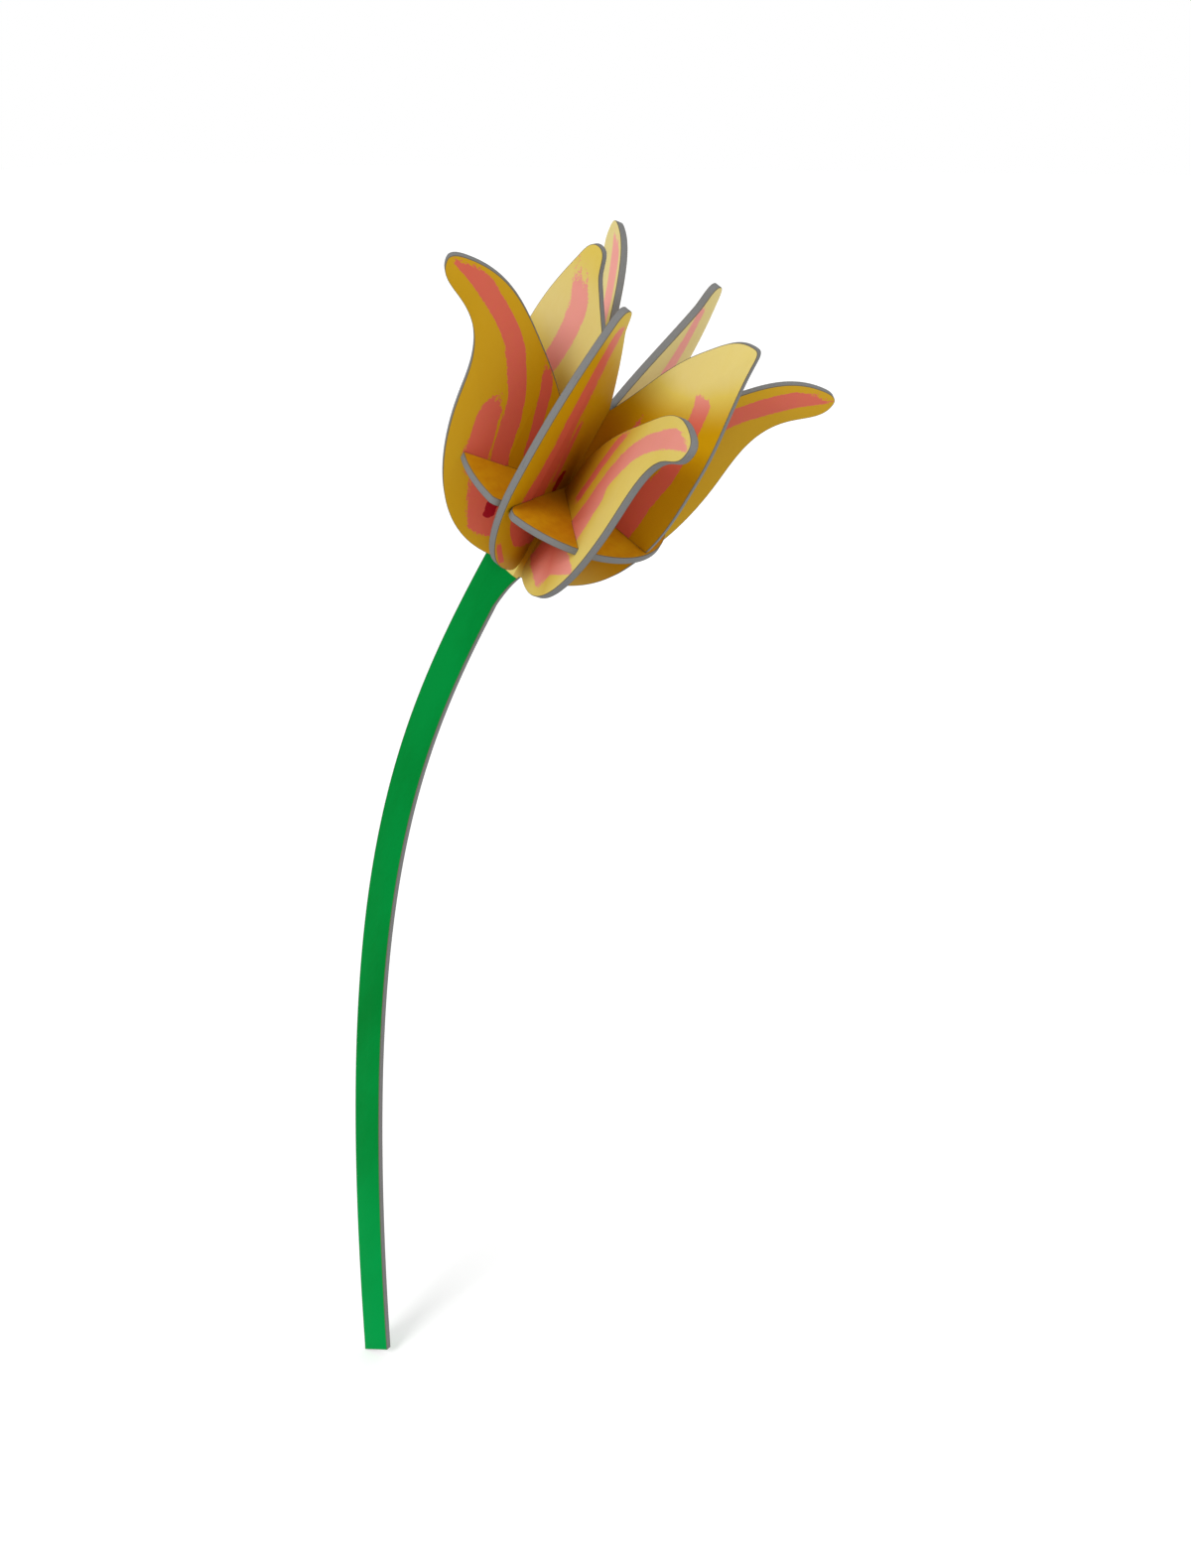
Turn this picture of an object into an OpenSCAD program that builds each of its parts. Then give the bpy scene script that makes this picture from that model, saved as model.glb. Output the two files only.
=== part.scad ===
// Tulip on a bent stem, made of flat printed boards that slot together round a disc.
// Lengths are in millimetres and angles in degrees.
// The origin is the middle of the cut across the foot, +Z is up, and the stem board lies in
// the XZ plane. The flower leans towards +X.
// Petals are drawn in their own plane: the first number is the distance out from the flower's
// axis, the second is the height above the top of the disc.

/* [Board] */
// Thickness of the board that every piece is cut from
board_t = 2; // [1.4:0.1:3]
// Gap left between a board and the slot or face that it meets
slot_gap = 0.05; // [0.02:0.01:0.15]

/* [Stem] */
// Width of the stem
stem_w = 9.1; // [7:0.1:11]
// Distance from the flower's axis to the middle of the stem where they join
stem_offset = 5.3; // [2:0.1:8]
// Sideways distance from the foot to the centre of the disc
head_x = 80.7; // [65:0.1:100]
// Height of the disc's top, on the axis, above the foot
head_z = 291; // [240:1:340]
// Lean of the flower's axis from upright
lean = 32.8; // [20:0.1:42]
// Length of the upright pull on the stem's curve at the foot
foot_pull = 166; // [100:1:190]
// Length of the pull on the stem's curve along the flower's axis
neck_pull = 68; // [40:1:90]
// Slant of the cut across the foot
foot_slant = 18; // [0:1:30]
// Length of neck over which the stem widens towards the taller petal
flare_drop = 14; // [8:0.1:20]
// Distance from the axis at which the widening runs into the taller petal
flare_r = 1.8; // [1:0.1:4]

/* [Disc] */
// Radius of the disc
disc_r = 28.7; // [26:0.1:34]
// Distance from the axis at which the petal slits meet the disc slots
meet_r = 17; // [12:0.1:22]
// Rounding at the mouths of the slots that take the loose upright petals
mouth_round = 3.5; // [1:0.1:5]

/* [Petal roots] */
// Depth of the loose petals below the top of the disc
root_drop = 26.3; // [20:0.1:29]
// Distance that the roots of the loose petals stay back from the boards that cross there
root_gap = 2.2; // [1.2:0.1:4]
// Distance that the curled petals stay back from the boards that cross on top of the disc
seat_gap = 0.9; // [0.3:0.1:2]
// Radius of the rounded corner at the foot of a loose petal
root_round = 2.5; // [1:0.1:5]

/* [Upright petals] */
// Height of the notch where the upright petals part
notch_h = 24.4; // [16:0.1:28]
// Distance of the front petal's tip from the axis
front_tip_r = 20.1; // [18:0.1:28]
// Height of the front petal's tip
front_tip_h = 56.1; // [50:0.1:64]
// Distance of the back petal's tip from the axis
back_tip_r = 23.4; // [18:0.1:28]
// Height of the back petal's tip
back_tip_h = 57.2; // [50:0.1:64]
// Distance of the belly from the axis
upright_belly_r = 29.6; // [28:0.1:35]
// Height of the belly
upright_belly_h = 7.9; // [3:0.1:16]
// Step in from the tip to the inner shoulder
upright_in = 4.4; // [3:0.1:7]
// Step down from the tip to the inner shoulder
upright_in_down = 7; // [4:0.1:9]
// Step out from the tip to the outer shoulder
upright_out = 3.9; // [2:0.1:6]
// Step down from the tip to the outer shoulder
upright_out_down = 5.9; // [3:0.1:9]

/* [Stem board petals] */
// Distance of the plain petal's tip from the axis
plain_tip_r = 22.2; // [18:0.1:28]
// Height of the plain petal's tip
plain_tip_h = 55.9; // [50:0.1:64]
// Distance of the taller petal's tip from the axis
tall_tip_r = 25.5; // [20:0.1:29]
// Height of the taller petal's tip
tall_tip_h = 60.1; // [52:0.1:66]
// Step in from the taller tip to its inner shoulder
tall_in = 10.6; // [7:0.1:13]
// Step down from the taller tip to its inner shoulder
tall_in_down = 8.1; // [6:0.1:11]
// Step out from the taller tip to its outer shoulder
tall_out = 1.4; // [1:0.1:4]
// Step down from the taller tip to its outer shoulder
tall_out_down = 2.9; // [1.5:0.1:5]
// Distance of the side from the axis where it is widest
side_r = 29.9; // [27:0.1:34]
// Height at which the side is widest
side_h = 23.9; // [18:0.1:32]
// Distance of the hip, just under the disc, from the axis
hip_r = 26.3; // [24:0.1:29]
// Depth of the hip below the top of the disc
hip_drop = 5.6; // [3.5:0.1:9]
// Depth of the base, where the petals run into the stem
base_drop = 30.4; // [26:0.1:36]

/* [Curled petals] */
// Distance of the front left tip from the axis
front_left_tip_r = 53.5; // [48:0.1:60]
// Height of the front left tip
front_left_tip_h = 45.8; // [42:0.1:54]
// Distance of the front right tip from the axis
front_right_tip_r = 52.8; // [48:0.1:60]
// Height of the front right tip
front_right_tip_h = 46.9; // [42:0.1:54]
// Distance of the back right tip from the axis
back_right_tip_r = 52.7; // [48:0.1:60]
// Height of the back right tip
back_right_tip_h = 46.6; // [42:0.1:54]
// Distance of the back left tip from the axis
back_left_tip_r = 55.1; // [48:0.1:60]
// Height of the back left tip
back_left_tip_h = 46.7; // [42:0.1:54]
// Step back from the tip to the crown of the curl
curl_crown_back = 4.9; // [4:0.1:9]
// Rise of the crown of the curl above the tip
curl_crown_rise = 2.2; // [1.5:0.1:4]
// Step back from the tip to the underside of the curl
curl_under_back = 7.8; // [5:0.1:10]
// Step down from the tip to the underside of the curl
curl_under_down = 8.5; // [6:0.1:11]
// Distance of the bend in the inner edge from the axis
curl_bend_r = 23; // [18:0.1:27]
// Height of the bend in the inner edge
curl_bend_h = 33.7; // [30:0.1:39]
// Distance of the belly from the axis
curl_belly_r = 36.4; // [33:0.1:41]
// Height of the belly
curl_belly_h = 16.4; // [10:0.1:24]

/* [Hidden] */
petal_yellow = "#d8a63a";
disc_orange = "#cf9226";
stem_green = "#00934a";

// Straight pieces in each curve of an outline, and along the stem
curve_steps = 10;
stem_steps = 36;
// Length of a curve's handles as a share of the straight distance between its ends
curve_pull = 0.38;
// A length that reaches past any edge being cut
past_edge = 20;
// Fineness of the disc's rim
$fn = 96;

// Angles of the loose petals round the axis, from the stem board's taller petal
front_angle = 270;
back_angle = 90;
front_left_angle = 225;
front_right_angle = 315;
back_right_angle = 45;
back_left_angle = 135;
loose_angles = [
  front_angle,
  back_angle,
  front_left_angle,
  front_right_angle,
  back_right_angle,
  back_left_angle
];

// Distance from the axis at which the faces of two boards crossing at 45 degrees part
crossing_r = board_t * (1 + sqrt(2)) / 2;
// Inner edges of the loose petals, on the disc and below it
upright_seat_r = board_t / 2 + slot_gap;
upright_root_r = board_t / 2 + root_gap;
curl_seat_r = crossing_r + seat_gap;
curl_root_r = crossing_r + root_gap;
// Width of a slot that a board slides into
slot_w = board_t + 2 * slot_gap;

// Slope of the stem board's petals where they run into the stem
base_slope = 24;

// Anchors of the outlines: distance out, height, and the heading of the edge there
upright_notch = [upright_seat_r, notch_h, 62];
upright_belly = [upright_belly_r, upright_belly_h, -90];
upright_foot = [upright_root_r + root_round, -root_drop, 194];
upright_corner = [upright_root_r, root_round - root_drop, 90];

tall_inner = [tall_tip_r - tall_in, tall_tip_h - tall_in_down, 53];
tall_tip = [tall_tip_r, tall_tip_h, 0];
tall_outer = [tall_tip_r + tall_out, tall_tip_h - tall_out_down, -88];
side = [side_r, side_h, -90];
hip = [hip_r, -hip_drop, -110];
base = [0, -base_drop, 180 + base_slope];

// The neck's widening starts just inside the stem's side and ends just inside the petal's base
flare_inside = 0.2;
flare_foot = [stem_w / 2 - stem_offset - flare_inside, -base_drop - flare_drop, 84];
flare_top = [flare_r, flare_inside - base_drop + flare_r * tan(base_slope), 70];

// The mouth of a slot: from its side, along the slot, to the rim
mouth_in = [disc_r - mouth_round, slot_w / 2, 0];
mouth_out = [disc_r, slot_w / 2 + mouth_round, 80];

curl_seat = [curl_seat_r, 0, 83];
curl_bend = [curl_bend_r, curl_bend_h, 44];
curl_belly = [curl_belly_r, curl_belly_h, 266];
curl_foot = [curl_root_r + root_round, -root_drop, 180];
curl_corner = [curl_root_r, root_round - root_drop, 90];

// Middle line of the stem: two ends and the two points that pull on its curve
axis_way = [sin(lean), cos(lean)];
out_way = [cos(lean), -sin(lean)];
stem_foot = [0, 0];
stem_top = [head_x, head_z] - stem_offset * out_way - (base_drop - stem_w / 3) * axis_way;
stem_foot_hold = [0, foot_pull];
stem_top_hold = stem_top - neck_pull * axis_way;

// Anchors round the tip of an upright petal, from the notch to the outer shoulder
function upright_anchors(tip_r, tip_h) = [
  upright_notch,
  [tip_r - upright_in, tip_h - upright_in_down, 56],
  [tip_r, tip_h, 0],
  [tip_r + upright_out, tip_h - upright_out_down, -74]
];

// Anchors round the tip of a curled petal, from the crown of the curl to its underside
function curl_anchors(tip_r, tip_h) = [
  [tip_r - curl_crown_back, tip_h + curl_crown_rise, 0],
  [tip_r, tip_h, -90],
  [tip_r - curl_under_back, tip_h - curl_under_down, 216]
];

function place(anchor) = [anchor.x, anchor.y];
function heading(angle) = [cos(angle), sin(angle)];
function left_of(way) = [-way.y, way.x] / norm(way);

// Point and direction of a cubic curve with the four given points, at share u of its way
function cubic(a, b, c, d, u) =
  a * pow(1 - u, 3) + 3 * b * u * pow(1 - u, 2) + 3 * c * u * u * (1 - u) + d * pow(u, 3);
function cubic_way(a, b, c, d, u) =
  (b - a) * pow(1 - u, 2) + 2 * (c - b) * u * (1 - u) + (d - c) * u * u;

// Smooth curve from one anchor to the next, without its last point
function curve(from, to) =
  let (pull = curve_pull * norm(place(to) - place(from)))
  [
    for (step = [0:curve_steps - 1])
      cubic(
        place(from),
        place(from) + pull * heading(from.z),
        place(to) - pull * heading(to.z),
        place(to),
        step / curve_steps
      )
  ];

// Smooth edge through a row of anchors
function edge(anchors) = [
  for (i = [0:len(anchors) - 2]) each curve(anchors[i], anchors[i + 1]),
  place(anchors[len(anchors) - 1])
];

function mirrored(points) = [for (i = [len(points) - 1:-1:0]) [-points[i].x, points[i].y]];

// One side of the stem, from the slanted cut at the foot into the base of the petals
function stem_side(offset) = [
  [offset, offset * tan(foot_slant)],
  for (step = [1:stem_steps])
    let (u = step / stem_steps)
    cubic(stem_foot, stem_foot_hold, stem_top_hold, stem_top, u)
      - offset * left_of(cubic_way(stem_foot, stem_foot_hold, stem_top_hold, stem_top, u)),
  stem_top + offset * out_way + (base_drop - stem_w) * axis_way
];

module stem_outline() {
  right = stem_side(stem_w / 2);
  left = stem_side(-stem_w / 2);
  polygon(concat(right, [for (i = [len(left) - 1:-1:0]) left[i]]));
}

module stem_petals_outline() {
  tall_edge = edge([upright_notch, tall_inner, tall_tip, tall_outer, side, hip, base]);
  plain_edge = edge(concat(upright_anchors(plain_tip_r, plain_tip_h), [side, hip, base]));
  polygon(concat(tall_edge, mirrored(plain_edge)));
  neck_flare();
}

// Widening of the stem's neck under the taller petal
module neck_flare() {
  inside = [flare_foot.x, flare_top.y];
  polygon(concat(edge([flare_foot, flare_top]), [inside]));
}

module upright_outline(tip_r, tip_h) {
  rim = edge(
    concat(upright_anchors(tip_r, tip_h), [upright_belly, upright_foot, upright_corner])
  );
  polygon(concat(rim, [[upright_root_r, -board_t], [upright_seat_r, 0]]));
}

module curled_outline(tip_r, tip_h) {
  rim = edge(
    concat(
      [curl_seat, curl_bend],
      curl_anchors(tip_r, tip_h),
      [curl_belly, curl_foot, curl_corner]
    )
  );
  polygon(concat(rim, [[curl_root_r, -board_t]]));
}

// Cut at the level of the disc, from one distance out to another
module disc_slit(from_r, to_r) {
  translate([from_r, -board_t - slot_gap])
    square([to_r - from_r, slot_w]);
}

// Slot in the disc along a petal, from one distance out to past the rim
module rim_slot(angle, from_r) {
  rotate(angle)
    translate([from_r, -slot_w / 2])
      square([disc_r + past_edge, slot_w]);
}

// Rounded mouth of a slot at the rim of the disc
module slot_mouth(angle) {
  side_points = edge([mouth_in, mouth_out]);
  one_side = concat(side_points, [[disc_r + past_edge, mouth_out.y]]);
  other_side = [for (i = [len(one_side) - 1:-1:0]) [one_side[i].x, -one_side[i].y]];
  rotate(angle)
    polygon(concat(one_side, other_side));
}

// Puts the flower's own frame where the stem holds it
module in_flower() {
  translate([head_x, 0, head_z])
    rotate([0, lean, 0])
      children();
}

// Board standing on the axis at an angle round it, from an outline in its own plane
module standing_board(angle) {
  in_flower()
    rotate([90, 0, angle])
      linear_extrude(board_t, center = true)
        children();
}

module upright_petal(angle, tip_r, tip_h) {
  color(petal_yellow)
    standing_board(angle)
      difference() {
        upright_outline(tip_r, tip_h);
        disc_slit(0, meet_r + slot_gap);
      }
}

module curled_petal(angle, tip_r, tip_h) {
  color(petal_yellow)
    standing_board(angle)
      difference() {
        curled_outline(tip_r, tip_h);
        disc_slit(0, meet_r + slot_gap);
      }
}

module stem_board() {
  color(stem_green)
    union() {
      rotate([90, 0, 0])
        linear_extrude(board_t, center = true)
          stem_outline();
      standing_board(0)
        difference() {
          stem_petals_outline();
          disc_slit(0, side_r + past_edge);
        }
    }
}

module locking_disc() {
  color(disc_orange)
    in_flower()
      translate([0, 0, -board_t])
        linear_extrude(board_t)
          difference() {
            circle(disc_r);
            rim_slot(180, -slot_gap);
            for (angle = loose_angles) rim_slot(angle, meet_r);
            for (angle = [front_angle, back_angle]) slot_mouth(angle);
          }
}

module upright_petal_front() {
  upright_petal(front_angle, front_tip_r, front_tip_h);
}

module upright_petal_back() {
  upright_petal(back_angle, back_tip_r, back_tip_h);
}

module curled_petal_front_left() {
  curled_petal(front_left_angle, front_left_tip_r, front_left_tip_h);
}

module curled_petal_front_right() {
  curled_petal(front_right_angle, front_right_tip_r, front_right_tip_h);
}

module curled_petal_back_right() {
  curled_petal(back_right_angle, back_right_tip_r, back_right_tip_h);
}

module curled_petal_back_left() {
  curled_petal(back_left_angle, back_left_tip_r, back_left_tip_h);
}

stem_board();
locking_disc();
upright_petal_front();
upright_petal_back();
curled_petal_front_left();
curled_petal_front_right();
curled_petal_back_right();
curled_petal_back_left();
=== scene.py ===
import math
from collections import namedtuple
from functools import reduce

import bmesh
import bpy
from mathutils import Matrix, Vector
from mathutils.geometry import interpolate_bezier


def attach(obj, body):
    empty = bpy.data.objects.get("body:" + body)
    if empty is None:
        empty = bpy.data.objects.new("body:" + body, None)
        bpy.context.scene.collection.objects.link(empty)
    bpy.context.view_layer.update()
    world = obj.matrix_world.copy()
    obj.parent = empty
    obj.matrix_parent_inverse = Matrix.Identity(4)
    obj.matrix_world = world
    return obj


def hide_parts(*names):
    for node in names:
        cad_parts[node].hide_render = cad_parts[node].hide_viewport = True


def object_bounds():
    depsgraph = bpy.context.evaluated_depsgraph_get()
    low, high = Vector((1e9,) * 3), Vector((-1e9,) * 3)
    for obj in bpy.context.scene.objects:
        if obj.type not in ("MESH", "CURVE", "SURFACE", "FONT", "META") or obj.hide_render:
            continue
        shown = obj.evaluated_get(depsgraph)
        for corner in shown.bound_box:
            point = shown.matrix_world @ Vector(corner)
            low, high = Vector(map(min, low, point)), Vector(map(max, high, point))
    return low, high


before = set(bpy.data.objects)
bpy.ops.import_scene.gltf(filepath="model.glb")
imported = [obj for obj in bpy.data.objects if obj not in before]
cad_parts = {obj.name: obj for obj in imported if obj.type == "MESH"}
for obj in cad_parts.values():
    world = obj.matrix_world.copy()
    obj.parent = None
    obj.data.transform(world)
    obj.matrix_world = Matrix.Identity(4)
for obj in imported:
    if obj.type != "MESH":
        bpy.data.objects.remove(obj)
cad_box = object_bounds()

# Sizes of the object, as the solids have them
MM = 0.001
BOARD_T = 2.0 * MM
FLOWER_CENTRE = Vector((80.7, 0.0, 291.0)) * MM
FLOWER_LEAN = math.radians(32.8)
# Depth of the petals' roots below the disc's upper face, in millimetres
BASE_DROP = 30.4

# Angle of each standing board round the flower's axis, in degrees, and its printed tone:
# 0 is a deep golden print, 1 a pale yellow one
STANDING_BOARDS = {
    "stem_board": (0, 0.84),
    "upright_petal_front": (270, 0.0),
    "upright_petal_back": (90, 1.0),
    "curled_petal_front_left": (225, 0.05),
    "curled_petal_front_right": (315, 0.7),
    "curled_petal_back_right": (45, 0.1),
    "curled_petal_back_left": (135, 1.0),
}
DISC_TONE = 0.0


def srgb(red, green, blue):
    """Display colour of 0 to 255 as a linear colour with alpha, by the sRGB curve."""
    def linear(value):
        share = value / 255
        return share / 12.92 if share <= 0.04045 else ((share + 0.055) / 1.055) ** 2.4
    return (linear(red), linear(green), linear(blue), 1.0)


# Colours of the print, the cut edge and the stage
PALE_YELLOW = srgb(222, 206, 138)
CLEAR_YELLOW = srgb(213, 189, 88)
GOLDEN = srgb(188, 142, 8)
# Orange of a petal's root and reddened clouds, also used as painted shade in the creases beside the
# axis, under a curled petal's shadow and towards the disc's middle
SHADE_AND_ROOT_ORANGE = srgb(166, 100, 4)
PALE_CORAL = srgb(234, 156, 150)
DEEP_CORAL = srgb(200, 86, 72)
DARK_RED = srgb(150, 12, 28)
LEAF_GREEN = srgb(0, 133, 54)
DEEP_GREEN = srgb(0, 120, 44)
FOOT_GREEN = srgb(0, 148, 68)
DISC_GOLD = srgb(198, 142, 13)
DISC_AMBER = srgb(184, 120, 9)
BOARD_GREY = srgb(124, 124, 123)
FIBRE_DARK = srgb(106, 105, 103)
FIBRE_PALE = srgb(142, 141, 139)
SCORCHED = srgb(92, 78, 40)
FLOOR_WHITE = srgb(246, 246, 246)
WHITE = (1.0, 1.0, 1.0, 1.0)


class Value:
    """A node socket whose arithmetic adds Math nodes to its tree."""

    def __init__(self, graph, socket):
        self.graph = graph
        self.socket = socket

    def math(self, operation, *others):
        operands = (self, *others)
        return self.graph.node(
            "ShaderNodeMath", {"operation": operation}, dict(enumerate(operands)))

    def reflected(self, operation, other):
        return self.graph.node("ShaderNodeMath", {"operation": operation}, {0: other, 1: self})

    def __add__(self, other):
        return self.math("ADD", other)

    def __radd__(self, other):
        return self.reflected("ADD", other)

    def __sub__(self, other):
        return self.math("SUBTRACT", other)

    def __rsub__(self, other):
        return self.reflected("SUBTRACT", other)

    def __mul__(self, other):
        return self.math("MULTIPLY", other)

    def __rmul__(self, other):
        return self.reflected("MULTIPLY", other)

    def __truediv__(self, other):
        return self.math("DIVIDE", other)

    def __gt__(self, other):
        return self.math("GREATER_THAN", other)

    def __lt__(self, other):
        return self.math("LESS_THAN", other)

    def __abs__(self):
        return self.math("ABSOLUTE")

    def larger(self, other):
        return self.math("MAXIMUM", other)

    def smaller(self, other):
        return self.math("MINIMUM", other)

    def clamped(self):
        """The value kept from 0 to 1."""
        return self.larger(0.0).smaller(1.0)

    def lifted(self, least):
        """A share of 0 to 1 made one of least to 1."""
        return self * (1 - least) + least

    def ramp(self, low, high):
        """0 below low, 1 above high, and a smooth rise between them."""
        return self.graph.node(
            "ShaderNodeMapRange",
            {"interpolation_type": "SMOOTHSTEP"},
            {"Value": self, "From Min": low, "From Max": high})


# Sockets of a Mix node of colours, by number: its factor, its two colours and its result
MIX_FACTOR = 0
MIX_FIRST = 6
MIX_SECOND = 7
MIX_RESULT = 2

# Look of a noise: repeats for each step of its three coordinates, its detail, its roughness,
# and a scale of the whole
Mottle = namedtuple("Mottle", "pitch detail roughness scale", defaults=(0.5, 1.0))
# Middle of a noise, which runs from 0 to 1
NOISE_MIDDLE = 0.5


class Graph:
    """A node tree that is filled by node()."""

    def __init__(self, tree):
        self.tree = tree
        tree.nodes.clear()

    def node(self, kind, settings=None, sockets=None, out=0):
        """Adds a node: its settings first, then the values or links of its sockets."""
        made = self.tree.nodes.new(kind)
        for name, value in (settings or {}).items():
            setattr(made, name, value)
        for name, value in (sockets or {}).items():
            self.feed(made.inputs[name], value)
        return Value(self, made.outputs[out]) if made.outputs else made

    def feed(self, socket, value):
        """Links a socket to a value, or to each of a list of them, or sets it to a number."""
        if isinstance(value, list):
            for part in value:
                self.feed(socket, part)
        elif isinstance(value, Value):
            self.tree.links.new(value.socket, socket)
        else:
            socket.default_value = value

    def mix(self, factor, first, second):
        """Colour between two, by a factor."""
        return self.node(
            "ShaderNodeMix", {"data_type": "RGBA"},
            {MIX_FACTOR: factor, MIX_FIRST: first, MIX_SECOND: second}, out=MIX_RESULT)

    def attribute(self, name, out="Fac"):
        return self.node("ShaderNodeAttribute", {"attribute_name": name}, out=out)

    def vector(self, x, y, z):
        return self.node("ShaderNodeCombineXYZ", None, {0: x, 1: y, 2: z})

    def coordinate(self, vector, axis):
        """One coordinate of a vector, by its letter."""
        return self.node("ShaderNodeSeparateXYZ", None, {"Vector": vector}, out=axis)

    def noise(self, vector, scale, detail, roughness):
        return self.node(
            "ShaderNodeTexNoise", None,
            {"Vector": vector, "Scale": scale, "Detail": detail, "Roughness": roughness})

    def mottle(self, look, *place):
        """Noise from 0 to 1 at three coordinates, each times the look's pitch for it."""
        pitched = [at * pitch for at, pitch in zip(place, look.pitch)]
        return self.noise(self.vector(*pitched), look.scale, look.detail, look.roughness)

    def swing(self, look, *place):
        """The same noise about 0, from -0.5 to 0.5."""
        return self.mottle(look, *place) - NOISE_MIDDLE


def add_object(name, data):
    """An object in the scene for a mesh, curve, lamp or camera."""
    made = bpy.data.objects.new(name, data)
    bpy.context.scene.collection.objects.link(made)
    return made


# Board geometry

EDGE_EASE = 0.16 * MM
EASE_STEPS = 3
WELD = 0.002 * MM
# Share of a normal across the board above which its face is a flat one
FLAT = 0.999
# Share of the ease, next to a flat face, that is printed with it
PRINTED_EASE = 0.03
# Turn above which an outline has a corner, and the turn between two points of a curve
CORNER = math.radians(25)
FINE_TURN = math.radians(3)
# A side at a corner is straight where it is this many times as long as the side beyond it
STRAIGHT_RATIO = 3
# Angle between two faces above which their edge shades sharp
SHARP_EDGE = math.radians(40)
FLOWER_FRAME = Matrix.Translation(FLOWER_CENTRE) @ Matrix.Rotation(FLOWER_LEAN, 4, "Y")


def board_inputs(graph):
    kinds = {
        "Geometry": "NodeSocketGeometry",
        "Thickness": "NodeSocketFloat",
        "Ease": "NodeSocketFloat",
        "Piece": "NodeSocketFloat",
        "Tone": "NodeSocketFloat",
        "Print": "NodeSocketMaterial",
        "Cut edge": "NodeSocketMaterial",
    }
    for name, kind in kinds.items():
        graph.tree.interface.new_socket(name, in_out="INPUT", socket_type=kind)
    graph.tree.interface.new_socket(
        "Geometry", in_out="OUTPUT", socket_type="NodeSocketGeometry")
    return {name: graph.node("NodeGroupInput", out=name) for name in kinds}


def edge_profile(graph, thickness, ease):
    """Profile of a cut edge: eased at the lower face, straight up, and eased at the upper one."""
    index = graph.node("GeometryNodeInputIndex")
    upper = index > EASE_STEPS
    step = abs(index - EASE_STEPS - upper) / EASE_STEPS
    turn = step * math.pi / 2
    side = 2 * upper - 1
    inset = ease * (turn.math("COSINE") - 1)
    rise = side * (thickness / 2 - ease * (1 - turn.math("SINE")))
    points = graph.node(
        "GeometryNodeMeshLine", None, {"Count": 2 * EASE_STEPS + 2, "Offset": (0.0, 0.0, MM)})
    line = graph.node(
        "GeometryNodeSetPosition", None,
        {"Geometry": points, "Position": graph.vector(inset, rise, 0.0)})
    return graph.node("GeometryNodeMeshToCurve", None, {"Mesh": line})


def flat_faces(graph, outline, thickness, ease):
    """Upper and lower face of a board, set in from its outline by the ease."""
    normal = graph.node("GeometryNodeInputNormal")
    inward = graph.node(
        "ShaderNodeVectorMath", {"operation": "SCALE"}, {"Vector": normal, "Scale": ease * -1})
    inner = graph.node("GeometryNodeSetPosition", None, {"Geometry": outline, "Offset": inward})
    sheet = graph.node("GeometryNodeFillCurve", {"mode": "NGONS"}, {"Curve": inner})
    upper, lower = (
        graph.node(
            "GeometryNodeSetPosition", None,
            {"Geometry": sheet, "Offset": graph.vector(0.0, 0.0, height)})
        for height in (thickness / 2, thickness / -2))
    return [upper, graph.node("GeometryNodeFlipFaces", None, {"Mesh": lower})]


def stored(graph, geometry, name, kind, value):
    """Geometry that keeps a value on each of its points, for the print to read."""
    return graph.node(
        "GeometryNodeStoreNamedAttribute", {"data_type": kind, "domain": "POINT"},
        {"Geometry": geometry, "Name": name, "Value": value})


def new_board_tree():
    """Cuts a board from a closed outline: an eased edge swept along it, and two flat faces."""
    tree = bpy.data.node_groups.new("cut_board", "GeometryNodeTree")
    graph = Graph(tree)
    given = board_inputs(graph)
    thickness, ease = given["Thickness"], given["Ease"]
    outline = graph.node(
        "GeometryNodeSetCurveNormal", {"mode": "Z_UP"}, {"Curve": given["Geometry"]})
    band = graph.node(
        "GeometryNodeCurveToMesh", None,
        {"Curve": outline, "Profile Curve": edge_profile(graph, thickness, ease)})
    faces = flat_faces(graph, outline, thickness, ease)
    board = graph.node("GeometryNodeJoinGeometry", None, {"Geometry": [band, *faces]})
    board = graph.node(
        "GeometryNodeMergeByDistance", None, {"Geometry": board, "Distance": WELD})

    place = graph.node("GeometryNodeInputPosition")
    board = stored(graph, board, "sheet", "FLOAT_VECTOR", place)
    board = stored(graph, board, "piece", "FLOAT", given["Piece"])
    board = stored(graph, board, "tone", "FLOAT", given["Tone"])

    tilt = graph.coordinate(graph.node("GeometryNodeInputNormal"), "Z")
    board = graph.node(
        "GeometryNodeSetShadeSmooth", {"domain": "FACE"},
        {"Geometry": board, "Shade Smooth": abs(tilt) < FLAT})
    board = graph.node("GeometryNodeRealizeInstances", None, {"Geometry": board})
    board = graph.node(
        "GeometryNodeSetMaterial", None, {"Geometry": board, "Material": given["Print"]})
    on_edge = abs(graph.coordinate(place, "Z")) < thickness / 2 - PRINTED_EASE * ease
    board = graph.node(
        "GeometryNodeSetMaterial", None,
        {"Geometry": board, "Selection": on_edge, "Material": given["Cut edge"]})
    graph.node("NodeGroupOutput", None, {"Geometry": board})
    return tree


def board_frame(angle):
    """Frame of a standing board: x out from the flower's axis, y up along it, z across the board."""
    upright = Matrix.Rotation(math.pi / 2, 4, "X")
    return FLOWER_FRAME @ Matrix.Rotation(math.radians(angle), 4, "Z") @ upright


def disc_frame():
    """Frame of the disc: z along the flower's axis, with the middle of the board at 0."""
    return FLOWER_FRAME @ Matrix.Translation((0, 0, -BOARD_T / 2))


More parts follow.
